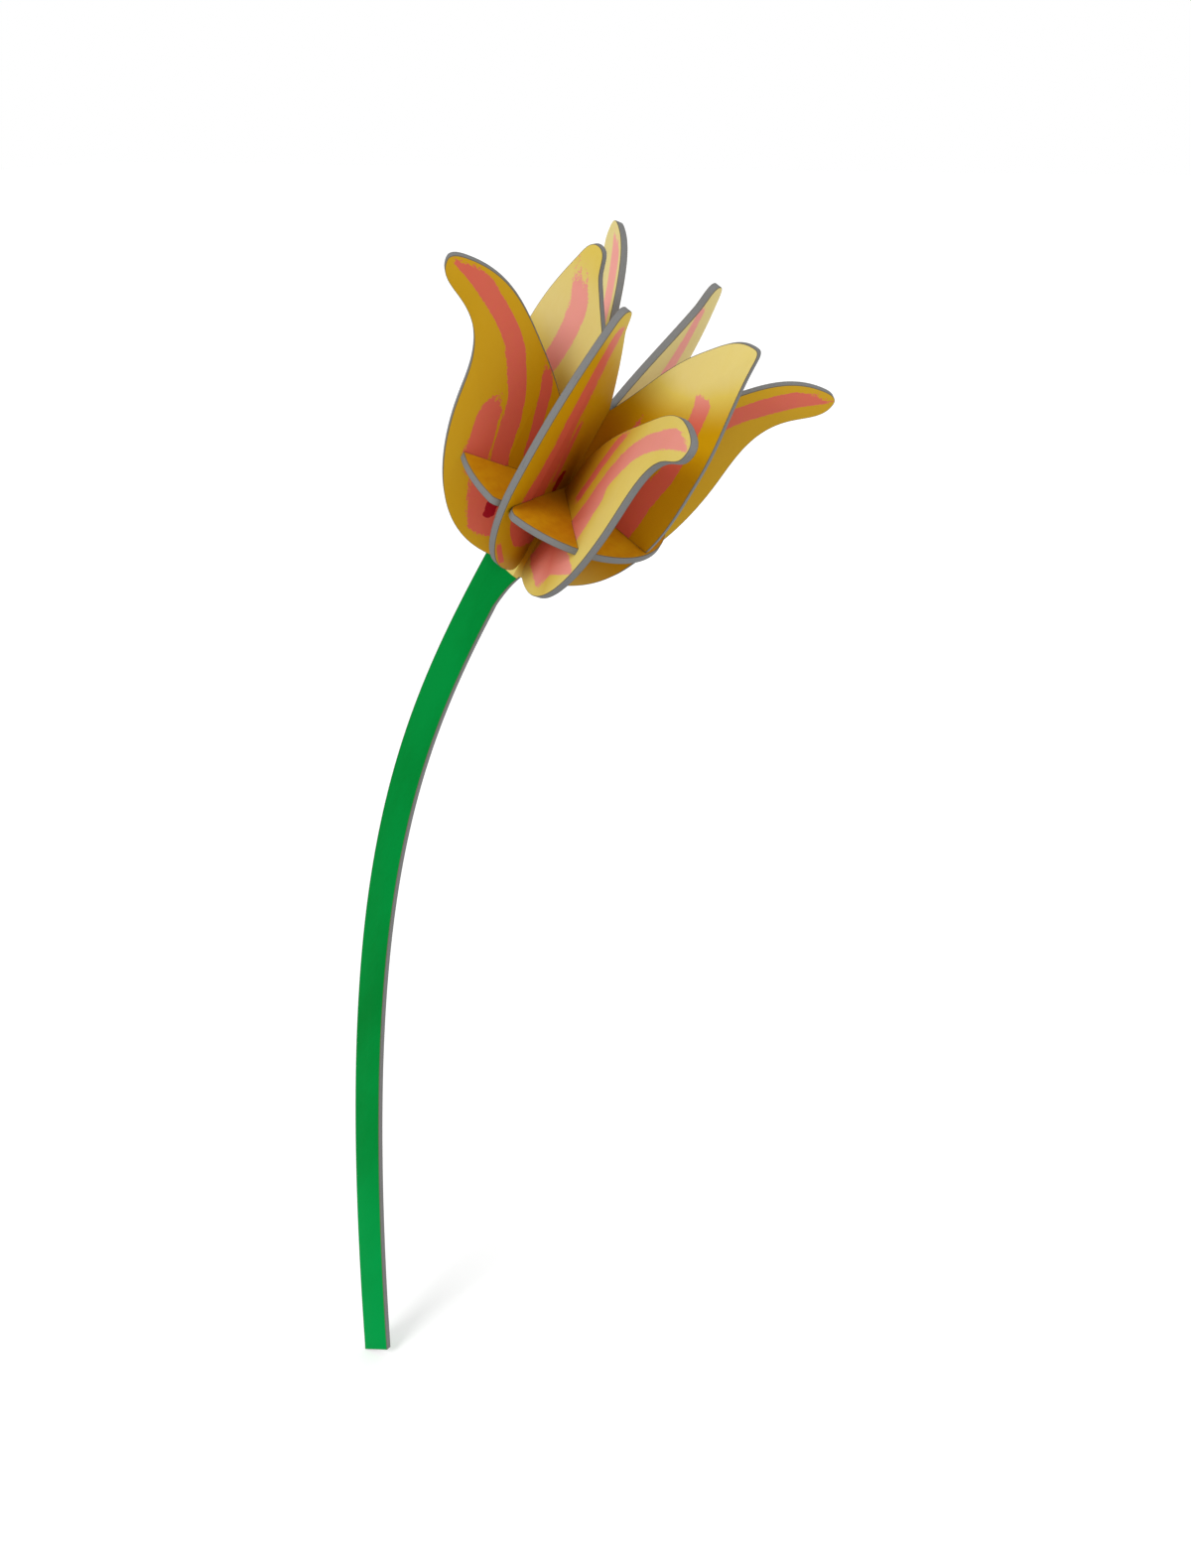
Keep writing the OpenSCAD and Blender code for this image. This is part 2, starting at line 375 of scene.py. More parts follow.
def cut_outline(node, place):
    """Outline of a CAD board's upper face, in the board's own frame, as a closed row of points."""
    solid = bmesh.new()
    solid.from_mesh(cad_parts[node].data)
    solid.transform(place.inverted())
    bmesh.ops.remove_doubles(solid, verts=solid.verts, dist=WELD)
    solid.normal_update()
    upper = {face for face in solid.faces if face.normal.z > FLAT}
    rim = {}
    for face in upper:
        for loop in face.loops:
            beyond = [other for other in loop.edge.link_faces if other is not face]
            if not any(other in upper for other in beyond):
                rim[loop.vert] = loop.link_loop_next.vert
    start = next(iter(rim))
    row = [start.co.xy.copy()]
    following = rim[start]
    while following is not start:
        row.append(following.co.xy.copy())
        following = rim[following]
    solid.free()
    return row


def drawn_finely(row):
    """The same outline with more points where it curves; corners and straight sides stay."""
    count = len(row)
    sides = [row[(i + 1) % count] - row[i] for i in range(count)]
    corner = [sides[i - 1].angle(sides[i]) > CORNER for i in range(count)]
    straight = [
        (corner[i] and side.length > STRAIGHT_RATIO * sides[(i + 1) % count].length)
        or (corner[(i + 1) % count] and side.length > STRAIGHT_RATIO * sides[i - 1].length)
        for i, side in enumerate(sides)]

    def heading(point, side):
        """Direction in which the outline passes a point, for the side on one hand of it."""
        before, after = sides[point - 1], sides[point]
        if corner[point] or straight[side]:
            return sides[side].normalized()
        if straight[point - 1] or straight[point]:
            return (before if straight[point - 1] else after).normalized()
        return (before / before.length_squared + after / after.length_squared).normalized()

    fine = []
    for i, side in enumerate(sides):
        end = (i + 1) % count
        leaving, arriving = heading(i, i), heading(end, i)
        bend = leaving.angle(side) + side.angle(arriving)
        # The handles of a cubic curve reach a third of its length
        reach = side.length / 3
        with_both_ends = math.ceil(bend / FINE_TURN) + 2
        fine += interpolate_bezier(
            row[i], row[i] + leaving * reach, row[end] - arriving * reach, row[end],
            with_both_ends)[:-1]
    return fine


def outline_curve(name, row):
    """Object with a closed curve through a row of points."""
    curve = bpy.data.curves.new(name, "CURVE")
    curve.dimensions = "3D"
    spline = curve.splines.new("POLY")
    spline.points.add(len(row) - 1)
    for point, at in zip(spline.points, row):
        point.co = (at.x, at.y, 0.0, 1.0)
    spline.use_cyclic_u = True
    return add_object(name, curve)


def cut_board(node, place, piece, tone, ink):
    """Board for a CAD node, with eased edges, in its place in the object."""
    drawn = outline_curve(node + "_outline", drawn_finely(cut_outline(node, place)))
    modifier = drawn.modifiers.new("cut_board", "NODES")
    modifier.node_group = board_tree
    given = {
        "Thickness": BOARD_T,
        "Ease": EDGE_EASE,
        "Piece": float(piece),
        "Tone": tone,
        "Print": ink,
        "Cut edge": cut_edge,
    }
    for item in board_tree.interface.items_tree:
        if item.in_out == "INPUT" and item.name in given:
            modifier[item.identifier] = given[item.name]
    shown = drawn.evaluated_get(bpy.context.evaluated_depsgraph_get())
    mesh = bpy.data.meshes.new_from_object(shown)
    bpy.data.objects.remove(drawn)
    # The first slot is the curve's own empty one
    mesh.materials.pop(index=0)
    mesh.transform(place)
    mesh.set_sharp_from_angle(angle=SHARP_EDGE)
    board = add_object(node + "_printed", mesh)
    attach(board, "root")
    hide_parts(node)
    return board


# Brush strokes and spots, in millimetres out from the flower's axis and up from the disc

SWAY = Mottle((1.0, 0.07, 1.0), detail=2.0)
SWAY_REACH = 1.6
BRISTLES = Mottle((1.0, 0.13, 1.0), detail=3.0, roughness=0.6)
BRISTLE_PITCH = 1.5
STIPPLE = Mottle((1.0, 1.0, 1.0), detail=3.0, roughness=0.65, scale=1.9)
# Raggedness that bristles and stipple give the wet body of a stroke, and what a dry end adds
BRISTLE_WET = 0.7
BRISTLE_DRY = 1.1
STIPPLE_WET = 0.45
STIPPLE_DRY = 2.4
# Cover of a stroke: how fast it rises from the side, its most, what a dry end takes away from
# it, and the level at which it is full
COVER_RISE = 1.2
COVER_MOST = 0.45
DRY_LOSS = 0.9
COVER_FULL = 0.06

TEAR = Mottle((1.0, 0.5, 1.0), detail=3.0, scale=0.8)
TEAR_REACH = 1.5
SPOT_SLANT = 0.8
SPOT_FULL = 0.1

# A spot: its middle, half its length and half its width
Spot = namedtuple("Spot", "out up long wide")


def through(places, values):
    """Coefficients, lowest first, of the polynomial that takes these values at these places."""
    total = [0.0] * len(places)
    for i, value in enumerate(values):
        basis = [value]
        for j, place in enumerate(places):
            if j != i:
                span = places[i] - place
                lifted = [0.0] + [c / span for c in basis]
                lowered = [-place * c / span for c in basis] + [0.0]
                basis = [a + b for a, b in zip(lifted, lowered)]
        total = [a + b for a, b in zip(total, basis)]
    return total


def polynomial(coefficients, at):
    """Value of a polynomial, from its coefficients, lowest first."""
    value = coefficients[-1]
    for coefficient in reversed(coefficients[:-1]):
        value = at * value + coefficient
    return value


class Stroke:
    """A brushed stroke: points out and up that its middle runs through, from foot to top, half
    its width, the lengths over which its two ends run dry, how much wider it is at the top than
    at the foot, as a share, and how far further in it lies on a pale petal."""

    def __init__(self, points, width, dry_foot, dry_top, widening=0.0, inward=0.0):
        self.foot, self.top = points[0][1], points[-1][1]
        self.width, self.inward = width, inward
        self.dry_foot, self.dry_top = dry_foot, dry_top
        self.widening = widening / (self.top - self.foot)
        self.bend = through([up for _, up in points], [out for out, _ in points])
        self.slope = [i * c for i, c in enumerate(self.bend)][1:]


def brushed(graph, stroke, out, up, seed):
    """Cover of a stroke, from 0 to 1: bristle streaks along it, ragged sides and dry ends."""
    height = up.larger(stroke.foot).smaller(stroke.top)
    middle = polynomial(stroke.bend, height)
    slope = polynomial(stroke.slope, height)
    half = (1 + (height - stroke.foot) * stroke.widening) * stroke.width
    sway = graph.swing(SWAY, seed, up, seed) * SWAY_REACH
    aside = (out - middle + sway) / (half * (slope * slope + 1).math("SQRT"))
    streak = graph.swing(BRISTLES, aside * half * BRISTLE_PITCH + seed, up, seed)
    stipple = graph.swing(STIPPLE, out, up, seed)
    dry_foot = 1 - up.ramp(stroke.foot, stroke.foot + stroke.dry_foot)
    dry_top = up.ramp(stroke.top - stroke.dry_top, stroke.top)
    dry = dry_foot.larger(dry_top)
    past = (stroke.foot - up).larger(up - stroke.top).larger(0.0)
    bristled = streak * (dry * BRISTLE_DRY + BRISTLE_WET)
    ragged = bristled + stipple * (dry * STIPPLE_DRY + STIPPLE_WET)
    body = ((1 - abs(aside)) * COVER_RISE).smaller(COVER_MOST)
    return (body + ragged - dry * DRY_LOSS - past).ramp(0.0, COVER_FULL)


def spotted(graph, spot, out, up, seed):
    """Cover of a slanted spot with a torn border, from 0 to 1."""
    across = (out - spot.out) / spot.wide
    along = (up - spot.up - across * SPOT_SLANT) / spot.long
    torn = graph.swing(TEAR, out, up, seed) * TEAR_REACH
    near = 1 - (across * across + along * along).math("SQRT") + torn
    return near.ramp(0.0, SPOT_FULL)


CURLED_STROKES = (
    Stroke(((16.5, -3.0), (21.5, 18.0), (29.5, 33.0), (49.5, 48.0)), 2.4, 3.0, 2.5),
    Stroke(((9.5, -22.5), (13.5, -12.0), (16.5, 0.0)), 6.4, 2.5, 2.0, 0.2),
    Stroke(((23.5, -4.0), (25.5, 8.0), (26.5, 20.0)), 3.6, 3.0, 7.0, -0.35, 6.0),
    Stroke(((11.0, 1.0), (13.5, 14.0), (16.0, 24.0), (19.5, 33.0)), 1.4, 5.0, 8.0),
    Stroke(((3.0, -19.0), (12.0, -11.5), (21.5, -3.5)), 3.0, 2.0, 2.0, 0.0, -9.0),
)
UPRIGHT_STROKES = (
    Stroke(((16.5, -5.0), (17.0, 14.0), (18.5, 32.0), (18.5, 53.5)), 5.4, 4.0, 4.0, -0.72),
    Stroke(((1.5, -19.0), (9.5, -13.0), (20.0, 0.0)), 4.4, 3.0, 5.0),
    Stroke(((12.5, -22.5), (17.5, -17.5), (23.5, -11.0)), 0.9, 2.0, 4.0),
    Stroke(((9.0, 2.0), (11.5, 15.0), (12.5, 28.0)), 1.1, 3.0, 9.0),
)
TALL_STROKES = (
    Stroke(((19.0, -3.0), (21.5, 14.0), (22.3, 30.0), (20.0, 43.5)), 2.3, 4.0, 2.0, -0.1),
    Stroke(((18.0, -5.0), (19.5, 3.0), (20.0, 12.0), (19.5, 22.0)), 3.6, 4.0, 9.0, -0.4),
    Stroke(((6.0, 8.0), (8.5, 20.0), (9.0, 31.0)), 0.8, 4.0, 9.0),
)
PLAIN_STROKES = (
    Stroke(((21.0, 10.0), (19.4, 26.0), (19.2, 38.0), (26.2, 52.0)), 2.3, 5.0, 10.0, 0.15),
    Stroke(((12.0, -19.0), (18.0, -8.0), (21.0, 6.0), (23.0, 18.0)), 3.4, 5.0, 9.0, -0.4),
)
CURLED_SPOTS = (Spot(15.3, -12.6, 3.8, 1.6),)
UPRIGHT_SPOTS = (Spot(7.5, 3.5, 3.6, 1.4),)


# Printed paper and cut edges

# Grain and felt of the paper for each metre, how much they vary its roughness and how much of
# its height they are
PAPER_GRAIN = 2600.0
PAPER_FELT = 420.0
PAPER_ROUGHNESS = 0.5
GRAIN_ROUGHENS = 0.1
FELT_ROUGHENS = 0.16
GRAIN_HEIGHT = 0.6
FELT_HEIGHT = 0.4
PAPER_BUMP = 0.12
PAPER_RELIEF = 0.08 * MM
PETAL_GLOSS = 0.05
STEM_GLOSS = 0.02
DISC_GLOSS = 0.08

# Cut edge: noises along the board and across it, the levels at which they show, the distance
# from the middle of the board at which the cut is scorched, and what they do to the surface
PLY = Mottle((0.35, 0.35, 7.0), detail=3.0, roughness=0.6)
PLY_SHOWS = (0.3, 0.42)
PLY_SHARE = 0.85
FLECK = Mottle((2.2, 2.2, 6.0), detail=2.0, roughness=0.7)
FLECK_SHOWS = (0.6, 0.72)
FLECK_SHARE = 0.5
SCORCH_SHOWS = (0.8, 0.92)
SCORCH_SHARE = 0.7
EDGE_ROUGHNESS = 0.86
FLECK_ROUGHENS = 0.1
PLY_HEIGHT = 0.6
FLECK_HEIGHT = 0.4
EDGE_BUMP = 0.35
EDGE_RELIEF = 0.12 * MM
EDGE_GLOSS = 0.2


def new_finish(name):
    """A new material and the graph of its nodes."""
    material = bpy.data.materials.new(name)
    material.use_nodes = True
    return material, Graph(material.node_tree)


def on_board(graph):
    """Place on a board: as a vector in metres, then out, up and across it in millimetres."""
    sheet = graph.attribute("sheet", "Vector")
    out, up, across = (graph.coordinate(sheet, axis) / MM for axis in "XYZ")
    return sheet, out, up, across


def bumped(graph, height, strength, relief):
    """Normal of a surface with a height, over a relief in metres."""
    return graph.node(
        "ShaderNodeBump", None, {"Strength": strength, "Distance": relief, "Height": height})


def lay_surface(graph, colour, roughness, gloss, normal):
    """Ends a material's graph in one shader."""
    shader = graph.node("ShaderNodeBsdfPrincipled", None, {
        "Base Color": colour,
        "Roughness": roughness,
        "Specular IOR Level": gloss,
        "Normal": normal,
    })
    graph.node("ShaderNodeOutputMaterial", None, {"Surface": shader})


def lay_paper(graph, colour, sheet, gloss):
    """Matte printed paper: fine grain in its height and its gloss."""
    grain = graph.noise(sheet, PAPER_GRAIN, detail=3.0, roughness=0.6)
    felt = graph.noise(sheet, PAPER_FELT, detail=2.0, roughness=0.5)
    varied = (felt - NOISE_MIDDLE) * FELT_ROUGHENS + (grain - NOISE_MIDDLE) * GRAIN_ROUGHENS
    height = grain * GRAIN_HEIGHT + felt * FELT_HEIGHT
    normal = bumped(graph, height, PAPER_BUMP, PAPER_RELIEF)
    lay_surface(graph, colour, varied + PAPER_ROUGHNESS, gloss, normal)


def edge_finish():
    """Cut grey board: pressed plies with pale and dark fibres, scorched brown beside the faces."""
    material, graph = new_finish("cut_grey_board")
    _, out, up, across = on_board(graph)
    ply = graph.mottle(PLY, out, up, across)
    fleck = graph.mottle(FLECK, out, up, across)
    colour = graph.mix(ply.ramp(*PLY_SHOWS) * PLY_SHARE, FIBRE_DARK, BOARD_GREY)
    colour = graph.mix(fleck.ramp(*FLECK_SHOWS) * FLECK_SHARE, colour, FIBRE_PALE)
    colour = graph.mix(abs(across).ramp(*SCORCH_SHOWS) * SCORCH_SHARE, colour, SCORCHED)
    roughness = EDGE_ROUGHNESS + (fleck - NOISE_MIDDLE) * FLECK_ROUGHENS
    height = ply * PLY_HEIGHT + fleck * FLECK_HEIGHT
    normal = bumped(graph, height, EDGE_BUMP, EDGE_RELIEF)
    lay_surface(graph, colour, roughness, EDGE_GLOSS, normal)
    return material


# Print of the petals

# Steps of a noise's seed from board to board and from stroke to stroke, and that of the plain
# petal on the stem board
PIECE_SEED = 2.3
STROKE_SEED = 3.7
PLAIN_SEED = 4.1

# Broad clouds and fine streaks of the ground, how much they pale, redden or thin the ink, and
# the share of the paling that a golden ground keeps
CLOUD = Mottle((0.07, 0.05, 1.0), detail=3.0, roughness=0.55)
STREAKS = Mottle((1.1, 0.35, 1.0), detail=2.0, roughness=0.6)
CLOUD_PALES = 0.3
STREAKS_PALE = 0.08
GOLDEN_KEEPS = 0.2
CLOUD_REDDENS = 0.3
STREAKS_THIN = 0.12
CORAL_STRENGTH = 0.94
# Paleness at which the ground is clear yellow
CLEAR_AT = 0.6
# Pale foot of a petal: the heights over which the foot and its heel end upwards, and the
# distances over which the foot starts beside the axis
FOOT_ENDS = (-26.0, -6.0)
HEEL_ENDS = (-30.0, -21.0)
FOOT_STARTS = (0.5, 7.0)
FOOT_PALENESS = 0.9
# Painted shade in the crease beside the axis, in orange: the distances and heights over which it
# ends
CREASE_SHADE_OUT = (1.0, 16.0)
CREASE_SHADE_UP = (4.0, 42.0)
# Shift of a petal's strokes from those of the next, read from one row of a noise
DRIFT = Mottle((1.7, 1.0, 1.0), detail=0.0)
DRIFT_ROW = (3.1, 5.3)
DRIFT_REACH = 7.0
# Tone below which a petal has dark spots
SPOTTED_TONE = 0.5


def petal_ink(graph, out, up, seed, tone, paleness, strokes, spots=(), added_shade=0.0):
    """Colour of a printed petal: golden or pale ground with a pale foot and painted orange shade in
    the crease beside the axis, coral strokes, deeper in that shade, and dark red spots on a golden
    petal."""
    cloud = graph.swing(CLOUD, out, up, seed)
    streaks = graph.swing(STREAKS, out, up, seed)
    heel = 1 - up.ramp(*HEEL_ENDS)
    foot = tone * (1 - up.ramp(*FOOT_ENDS)) * out.ramp(*FOOT_STARTS).larger(heel)
    cleared = paleness.larger(foot * FOOT_PALENESS)
    varied = cloud * CLOUD_PALES + streaks * STREAKS_PALE
    pale = (cleared + varied * cleared.lifted(GOLDEN_KEEPS)).clamped()
    # Painted shade in the crease beside the axis, ending at the heel below the disc
    painted_crease_shade = (1 - out.ramp(*CREASE_SHADE_OUT)) * (1 - up.ramp(*CREASE_SHADE_UP)) * (1 - heel)
    ground = graph.mix((pale / CLEAR_AT).smaller(1.0), GOLDEN, CLEAR_YELLOW)
    ground = graph.mix(((pale - CLEAR_AT) / (1 - CLEAR_AT)).larger(0.0), ground, PALE_YELLOW)
    # Orange of painted crease shade and of the added share, with printed reddening from the clouds
    root = (painted_crease_shade + added_shade + cloud * CLOUD_REDDENS).clamped()
    ground = graph.mix(root, ground, SHADE_AND_ROOT_ORANGE)
    # Coral is deeper on a golden ground and in the painted crease shade
    coral = graph.mix((pale - painted_crease_shade).larger(0.0), DEEP_CORAL, PALE_CORAL)

    drifted = out + graph.swing(DRIFT, seed, *DRIFT_ROW) * DRIFT_REACH
    cover = reduce(Value.larger, [
        brushed(graph, stroke, drifted + tone * stroke.inward, up, seed + STROKE_SEED * number)
        for number, stroke in enumerate(strokes)])
    ink = graph.mix(cover * (streaks * STREAKS_THIN + CORAL_STRENGTH), ground, coral)
    for spot in spots:
        shown = spotted(graph, spot, out, up, seed) * (tone < SPOTTED_TONE)
        ink = graph.mix(shown, ink, DARK_RED)
    return ink


def petal_place(graph):
    """Place on a petal's board, the seed of its noises and its tone."""
    sheet, out, up, _ = on_board(graph)
    return sheet, out, up, graph.attribute("piece") * PIECE_SEED, graph.attribute("tone")


# Curled petals: distances over which they turn pale, a printed paling outwards that is also painted
# shade towards the axis, and the least of their paleness
CURLED_PALES = (14.0, 31.0)
CURLED_LEAST = 0.1


def curled_finish():
    """Print of the curled petals, pale towards their outer edge; the golden towards the axis is
    partly painted shade.
    """
    material, graph = new_finish("curled_petal_ink")
    sheet, out, up, seed, tone = petal_place(graph)
    # Golden towards the axis: partly print, partly painted shade
    paleness = tone * out.ramp(*CURLED_PALES).lifted(CURLED_LEAST)
    ink = petal_ink(graph, out, up, seed, tone, paleness, CURLED_STROKES, CURLED_SPOTS)
    lay_paper(graph, ink, sheet, PETAL_GLOSS)
    return material


# Loose upright petals: heights over which they turn pale, how much lower these get for each
# millimetre towards the axis, and the pale tip that every one has
UPRIGHT_PALES = (4.0, 30.0)
UPRIGHT_SLANT = 0.4
UPRIGHT_LEAST = 0.6
TIP_PALES = (29.0, 40.0)
TIP_SLANT = 0.6
TIP_PALENESS = 0.5


def upright_finish():
    """Print of the loose upright petals, pale towards their tips."""
    material, graph = new_finish("upright_petal_ink")
    sheet, out, up, seed, tone = petal_place(graph)
    upper = (up - out * UPRIGHT_SLANT).ramp(*UPRIGHT_PALES).lifted(UPRIGHT_LEAST)
    tip = (up - out * TIP_SLANT).ramp(*TIP_PALES) * TIP_PALENESS
    paleness = tone * upper + tip
    ink = petal_ink(graph, out, up, seed, tone, paleness, UPRIGHT_STROKES, UPRIGHT_SPOTS)
    lay_paper(graph, ink, sheet, PETAL_GLOSS)
    return material


# Taller petal of the stem board: heights over which it turns pale, on a slant as above, partly a
# printed paling towards its tip and partly the edge of the front right curled petal's painted
# shadow; those over which its tip clears, with painted crease shade below them; those over which its
# lower part ends, and how much more orange that part is, as painted shadow of that curled petal
TALL_PALES = (2.0, 24.0)
TALL_SLANT = 1.2
TALL_SHADE_CLEARS = (28.0, 44.0)
TALL_SHADOW_ENDS = (22.0, 34.0)
TALL_SHADOW = 0.4
# Plain petal of the stem board: heights over which it turns pale, on a slant, those over which
# its tip deepens and by what share, and what is added to its orange painted crease shade, a negative
# share
PLAIN_PALES = (4.0, 24.0)
PLAIN_SLANT = 0.4
PLAIN_TIP = (42.0, 54.0)
PLAIN_TIP_DEEPENS = 0.3
PLAIN_SHADE_ADDED = -0.2

# Green of the stem: a broad wash and fine streaks, the levels between its two greens, and the
# heights over which the paler foot ends upwards
WASH = Mottle((0.05, 0.018, 1.0), detail=3.0, roughness=0.5)
WASH_LAYER = 2.0
WASH_SHARE = 0.85
LEAF_STREAKS = Mottle((1.2, 0.25, 1.0), detail=2.0, roughness=0.6)
LEAF_STREAKS_LAYER = 5.0
LEAF_STREAKS_SHARE = 0.15
WASH_LEVELS = (0.32, 0.68)
STEM_FOOT_ENDS = (-285.0, -195.0)
STEM_FOOT_SHARE = 0.4

# Line between petals and stem: a shallow bowl under the roots
LINE_ASIDE = 1.0
LINE_CURVE = 0.035
LINE_DROP = 0.1
LINE_RIM = 1.5
LINE_SOFT = 0.15


def stem_petal_inks(graph, out, up, seed, tone):
    """Colour of the stem board's two petals: the taller one, pale at its tip, with painted shadow
    and shade that turn it golden and orange below, and the plain one, pale above its root."""
    aside = abs(out)
    # Paleness of the taller petal: printed towards the tip, held down below a slanted line by the
    # front right curled petal's painted shadow, and low down by painted crease shade
    tall_pale_and_lit = tone * (up - aside * TALL_SLANT).ramp(*TALL_PALES) * up.ramp(*TALL_SHADE_CLEARS)
    # Painted shadow of the front right curled petal, in orange, on the lower part
    tall_shadow = (1 - up.ramp(*TALL_SHADOW_ENDS)) * TALL_SHADOW
    tall = petal_ink(graph, aside, up, seed, tone, tall_pale_and_lit, TALL_STROKES, added_shade=tall_shadow)
    deeper_tip = 1 - up.ramp(*PLAIN_TIP) * PLAIN_TIP_DEEPENS
    plain_pale = tone * (up - aside * PLAIN_SLANT).ramp(*PLAIN_PALES) * deeper_tip
    # The plain petal takes away part of the painted crease shade
    plain = petal_ink(
        graph, aside, up, seed + PLAIN_SEED, tone, plain_pale, PLAIN_STROKES, added_shade=PLAIN_SHADE_ADDED)
    return graph.mix(out < 0.0, tall, plain)


def leaf_green(graph, out, up):
    """Colour of the stem: a wash of two greens, paler towards its foot."""
    wash = graph.mottle(WASH, out, up, WASH_LAYER)
    streaks = graph.mottle(LEAF_STREAKS, out, up, LEAF_STREAKS_LAYER)
    level = (wash * WASH_SHARE + streaks * LEAF_STREAKS_SHARE).ramp(*WASH_LEVELS)
    green = graph.mix(level, DEEP_GREEN, LEAF_GREEN)
    foot = (1 - up.ramp(*STEM_FOOT_ENDS)) * (wash + STEM_FOOT_SHARE)
    return graph.mix(foot, green, FOOT_GREEN)


def stem_finish():
    """Print of the stem board: petals above a rounded line, leaf green below it."""
    material, graph = new_finish("stem_board_ink")
    sheet, out, up, seed, tone = petal_place(graph)
    petals = stem_petal_inks(graph, out, up, seed, tone)
    sag = out + LINE_ASIDE
    bowl = sag * sag * LINE_CURVE - (BASE_DROP + LINE_DROP)
    line = bowl.smaller(LINE_RIM - BASE_DROP)
    below = (line - up).ramp(-LINE_SOFT, LINE_SOFT)
    ink = graph.mix(below, petals, leaf_green(graph, out, up))
    lay_paper(graph, ink, sheet, STEM_GLOSS)
    return material


# Disc: a brushed wash and a mottle, the levels between its two colours, and the distances from
# the axis over which its orange middle, painted shade where the standing boards meet it, ends
DISC_BRUSH = Mottle((0.12, 0.03, 1.0), detail=3.0, roughness=0.6)
DISC_BRUSH_LAYER = 3.0
DISC_BRUSH_SHARE = 0.7
DISC_MOTTLE = Mottle((0.5, 0.5, 1.0), detail=2.0, roughness=0.6)
DISC_MOTTLE_LAYER = 1.0
DISC_MOTTLE_SHARE = 0.3
DISC_LEVELS = (0.32, 0.68)
DISC_SHADE_ENDS = (2.0, 24.0)
DISC_SHADE_SHARE = 0.7


def disc_finish():
    """Print of the disc: a brushed amber wash, with painted orange shade towards the middle, where
    the boards stand.
    """
    material, graph = new_finish("disc_ink")
    sheet, out, up, _ = on_board(graph)
    brush = graph.mottle(DISC_BRUSH, out, up, DISC_BRUSH_LAYER)
    mottle = graph.mottle(DISC_MOTTLE, out, up, DISC_MOTTLE_LAYER)
    level = (brush * DISC_BRUSH_SHARE + mottle * DISC_MOTTLE_SHARE).ramp(*DISC_LEVELS)
    wash = graph.mix(level, DISC_AMBER, DISC_GOLD)
    # Painted shade towards the axis, where the standing boards meet the disc
    middle = 1 - (out * out + up * up).math("SQRT").ramp(*DISC_SHADE_ENDS)
    shaded_wash = graph.mix(middle * DISC_SHADE_SHARE, wash, SHADE_AND_ROOT_ORANGE)
    lay_paper(graph, shaded_wash, sheet, DISC_GLOSS)
    return material


# The boards, with the print that the first word of their names says

cut_edge = edge_finish()
board_tree = new_board_tree()
inks = {"curled": curled_finish(), "upright": upright_finish(), "stem": stem_finish()}

for number, (node, (angle, tone)) in enumerate(STANDING_BOARDS.items(), 1):
    board = cut_board(node, board_frame(angle), number, tone, inks[node.split("_")[0]])
disc_number = len(STANDING_BOARDS) + 1
disc = cut_board("locking_disc", disc_frame(), disc_number, DISC_TONE, disc_finish())


# Stage, light and camera

# Camera as it was fitted to the photograph, with its lens and sensor in millimetres
CAMERA_AT = Vector((345.79, -420.5, 393.58)) * MM
CAMERA_TOWARDS = Vector((-0.49065, 0.7992, -0.34719))
CAMERA_ROLL = math.radians(-1.219)
CAMERA_LENS = 59.694
CAMERA_SENSOR = 36.0
CAMERA_NEAREST = 0.01
# Half the side of the floor, the glow that whitens it for the camera, and the light all round
FLOOR_HALF = 6.0
FLOOR_GLOW = 0.24
WORLD_LIGHT = 0.62
# Directions that the lamps shine from, their strengths, and the angles that soften them
KEY_FROM = Vector((0.02, -0.81, 0.58))
KEY_LIGHT = 1.45
KEY_SPREAD = math.radians(22)
FILL_FROM = Vector((0.99, 0.06, 0.0))
FILL_LIGHT = 1.1
FILL_SPREAD = math.radians(70)


def camera_sees(graph):
    """1 for rays from the camera, or that reach it by a mirror or through glass."""
    paths = [
        graph.node("ShaderNodeLightPath", out=name)
        for name in ("Is Camera Ray", "Is Glossy Ray", "Is Transmission Ray")]
    return reduce(Value.larger, paths)


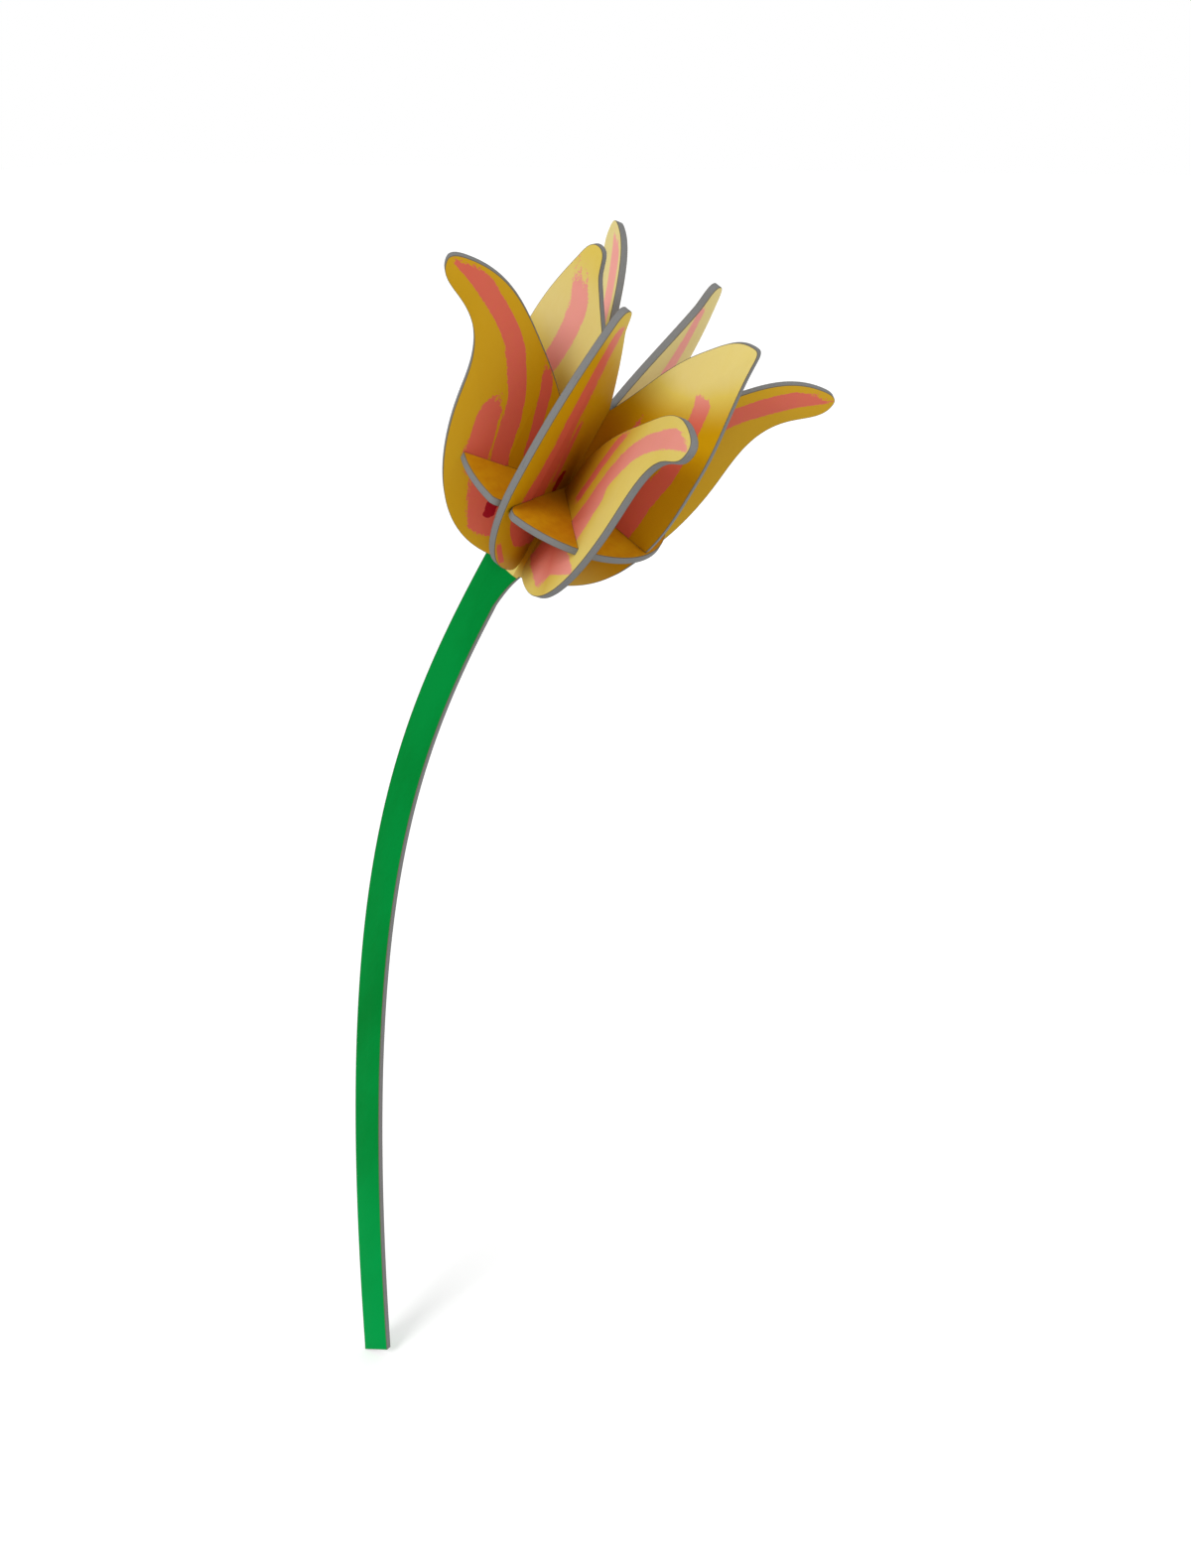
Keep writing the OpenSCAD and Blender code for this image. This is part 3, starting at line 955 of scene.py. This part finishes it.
def light_world():
    """Soft light from all round, in front of a white that only the camera sees."""
    world = bpy.data.worlds.new("studio")
    bpy.context.scene.world = world
    world.use_nodes = True
    graph = Graph(world.node_tree)
    strength = camera_sees(graph).lifted(WORLD_LIGHT)
    light = graph.node("ShaderNodeBackground", None, {"Color": WHITE, "Strength": strength})
    graph.node("ShaderNodeOutputWorld", None, {"Surface": light})


def lay_floor():
    """Pale floor under the object's lowest point, that keeps its shadow."""
    material, graph = new_finish("studio_floor")
    matte = graph.node("ShaderNodeBsdfDiffuse", None, {"Color": FLOOR_WHITE})
    glow = graph.node(
        "ShaderNodeEmission", None,
        {"Color": WHITE, "Strength": camera_sees(graph) * FLOOR_GLOW})
    both = graph.node("ShaderNodeAddShader", None, {0: matte, 1: glow})
    graph.node("ShaderNodeOutputMaterial", None, {"Surface": both})
    level = cad_box[0][2]
    mesh = bpy.data.meshes.new("studio_floor")
    corners = [
        (x * FLOOR_HALF, y * FLOOR_HALF, level)
        for x, y in ((-1, -1), (1, -1), (1, 1), (-1, 1))]
    mesh.from_pydata(corners, [], [(0, 1, 2, 3)])
    mesh.materials.append(material)
    floor = add_object("studio_floor", mesh)


def hang_lamp(name, source, energy, spread):
    """Soft lamp that shines from a direction."""
    lamp = bpy.data.lights.new(name, "SUN")
    lamp.energy = energy
    lamp.angle = spread
    hung = add_object(name, lamp)
    hung.rotation_euler = (-source).to_track_quat("-Z", "Y").to_euler()


def set_camera():
    """Camera at the photograph's place and angle."""
    lens = bpy.data.cameras.new("photo_view")
    lens.sensor_fit = "HORIZONTAL"
    lens.sensor_width = CAMERA_SENSOR
    lens.lens = CAMERA_LENS
    lens.clip_start = CAMERA_NEAREST
    camera = add_object("photo_view", lens)
    level = CAMERA_TOWARDS.to_track_quat("-Z", "Y").to_matrix().to_4x4()
    roll = Matrix.Rotation(CAMERA_ROLL, 4, "Z")
    camera.matrix_world = Matrix.Translation(CAMERA_AT) @ level @ roll
    bpy.context.scene.camera = camera


light_world()
lay_floor()
hang_lamp("key_light", KEY_FROM, KEY_LIGHT, KEY_SPREAD)
hang_lamp("fill_light", FILL_FROM, FILL_LIGHT, FILL_SPREAD)
set_camera()
bpy.context.scene.view_settings.view_transform = "Standard"
